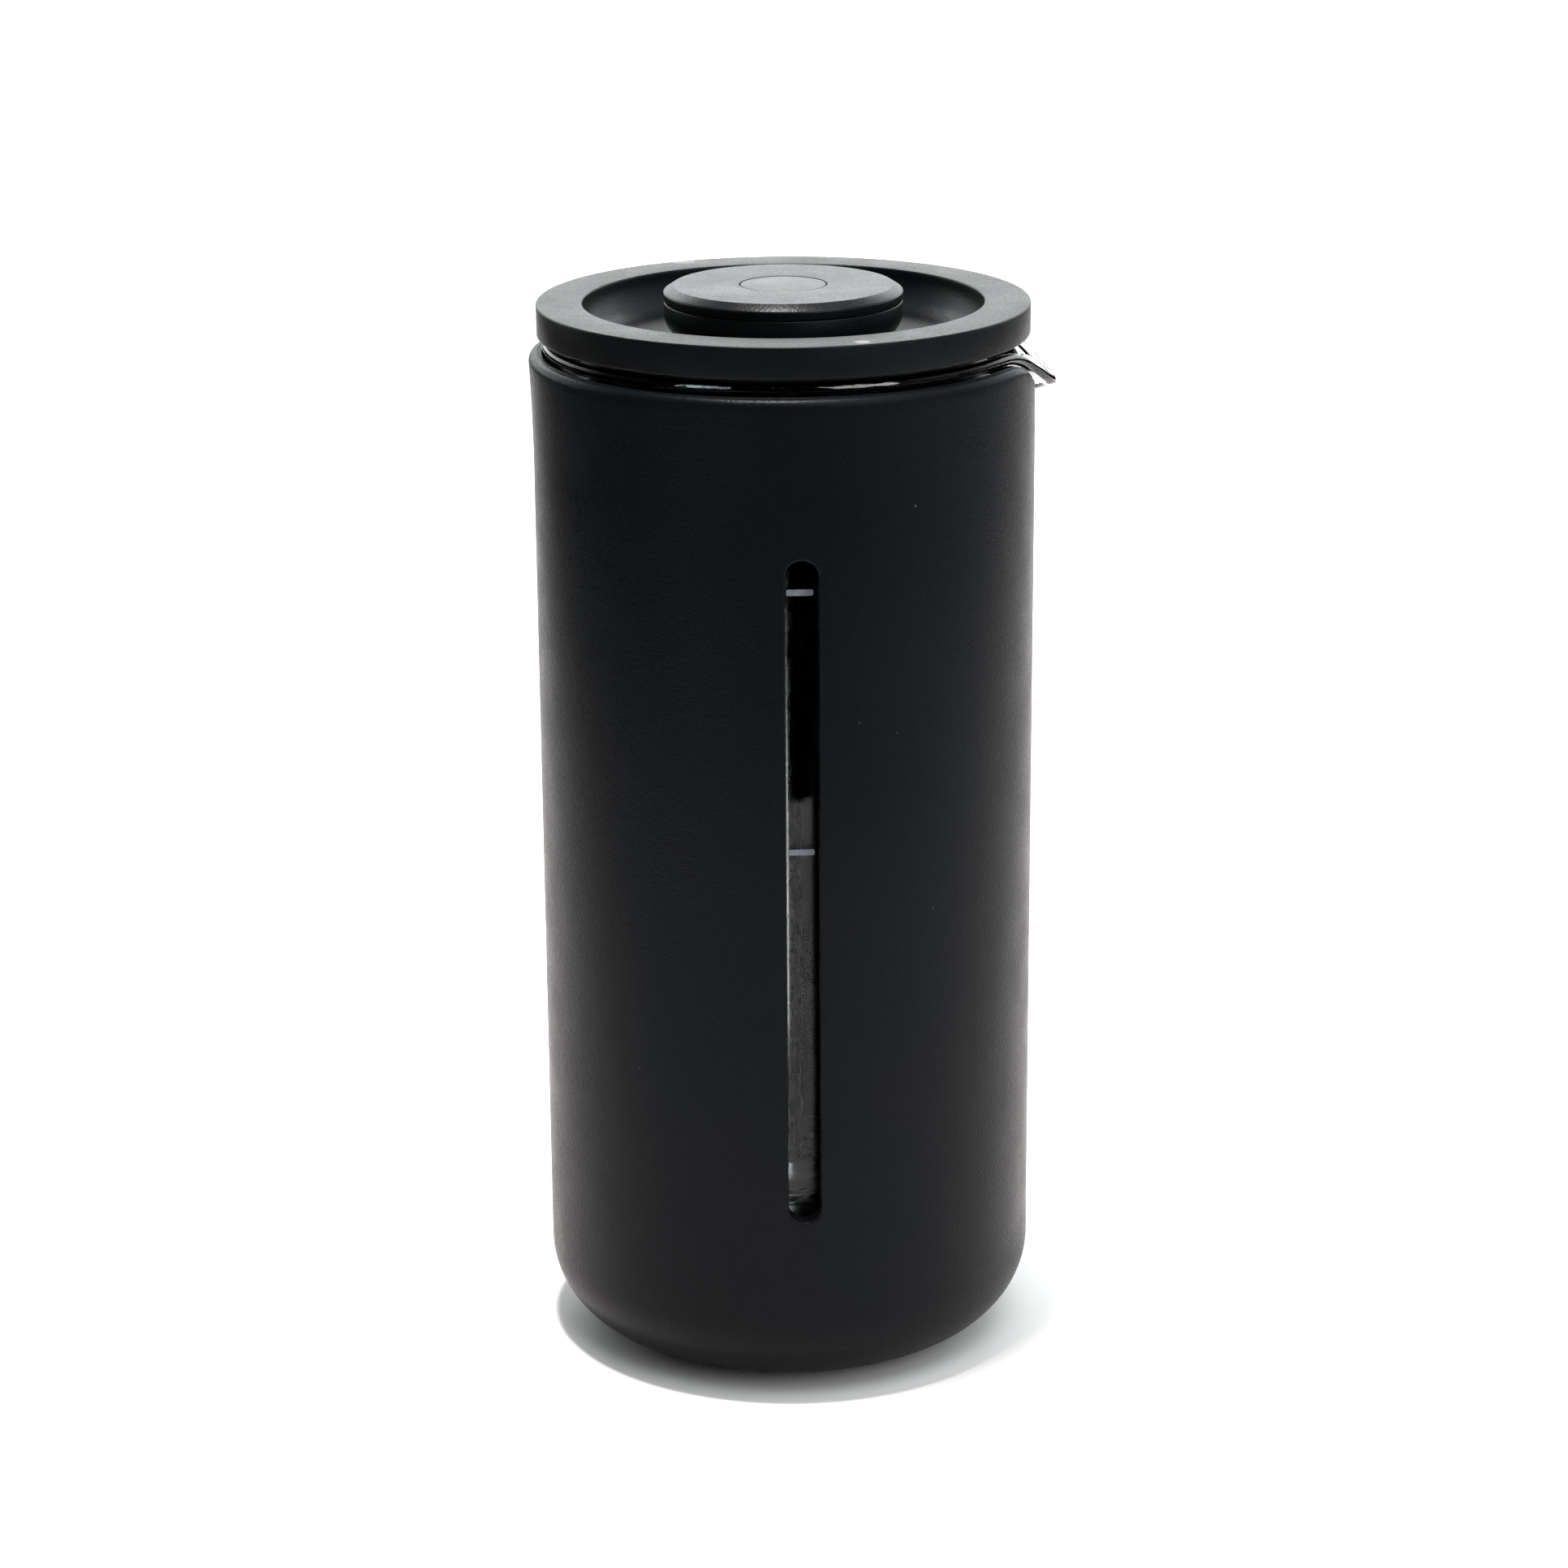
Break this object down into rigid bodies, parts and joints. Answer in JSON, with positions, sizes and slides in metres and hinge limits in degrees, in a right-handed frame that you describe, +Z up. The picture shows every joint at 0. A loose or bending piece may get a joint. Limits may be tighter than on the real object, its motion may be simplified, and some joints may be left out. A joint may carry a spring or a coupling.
{
  "type": "french press",
  "caption": "Personal french press: spouted glass beaker in a moulded plastic sleeve with a sight window, a turning lid with a finger recess, and a plunger with a fine filter.",
  "frame": {"origin": "centre of the flat face of the base pad that the press stands on", "axes": "+Z up along the axis of the beaker and plunger, +X towards the spout, -Y towards the sight window"},
  "size_m": [0.0883, 0.085, 0.184],
  "materials": {
    "sleeve_plastic": "fine matte grain, near black",
    "lid_plastic": "fine matte grain, near black",
    "knob_plastic": "satin, near black",
    "badge_metal": "satin anodised, plain",
    "dark_silicone": "matte silicone",
    "clear_silicone": "milky translucent silicone",
    "clear_glass": "clear borosilicate, fire-polished rim",
    "steel": "satin stainless",
    "steel_mesh": "fine woven stainless",
    "brass_insert": "turned brass"
  },
  "bodies": {
    "base": {"sleeve": "sleeve_plastic", "base_pad": "dark_silicone", "bottom_cushion": "dark_silicone", "rim_gasket": "dark_silicone"},
    "glass": {"glass_beaker": "clear_glass"},
    "lid_ring": {"lid_seal": "clear_silicone"},
    "lid": {"lid_body": "lid_plastic", "lid_skirt": "lid_plastic", "rod_bush": "lid_plastic", "guide_oring": "dark_silicone", "bush_retainer": "steel"},
    "wiper": {"filter_seal": "clear_silicone"},
    "plunger": {"knob_cap": "knob_plastic", "knob_badge": "badge_metal", "knob_body": "knob_plastic", "knob_insert": "brass_insert", "plunger_rod": "steel", "rod_collar": "steel", "filter_top_plate": "steel", "filter_mesh_upper": "steel_mesh", "filter_spacer": "steel", "filter_mesh_lower": "steel_mesh", "filter_cross_plate": "steel", "filter_nut": "steel"}
  },
  "joints": [
    {"name": "glass_lift", "type": "slide", "parent": "base", "child": "glass", "axis": [0, 0, 1], "range_m": [0, 0.19]},
    {"name": "lid_lift", "type": "slide", "parent": "glass", "child": "lid_ring", "axis": [0, 0, 1], "range_m": [0, 0.19]},
    {"name": "lid_turn", "type": "hinge", "parent": "lid_ring", "child": "lid", "pos_m": [0, 0, 0.16], "axis": [0, 0, 1], "continuous": true},
    {"name": "plunger_slide", "type": "slide", "parent": "lid", "child": "wiper", "axis": [0, 0, 1], "range_m": [0, 0.13]},
    {"name": "plunger_turn", "type": "hinge", "parent": "wiper", "child": "plunger", "pos_m": [0, 0, 0.02], "axis": [0, 0, 1], "continuous": true}
  ]
}
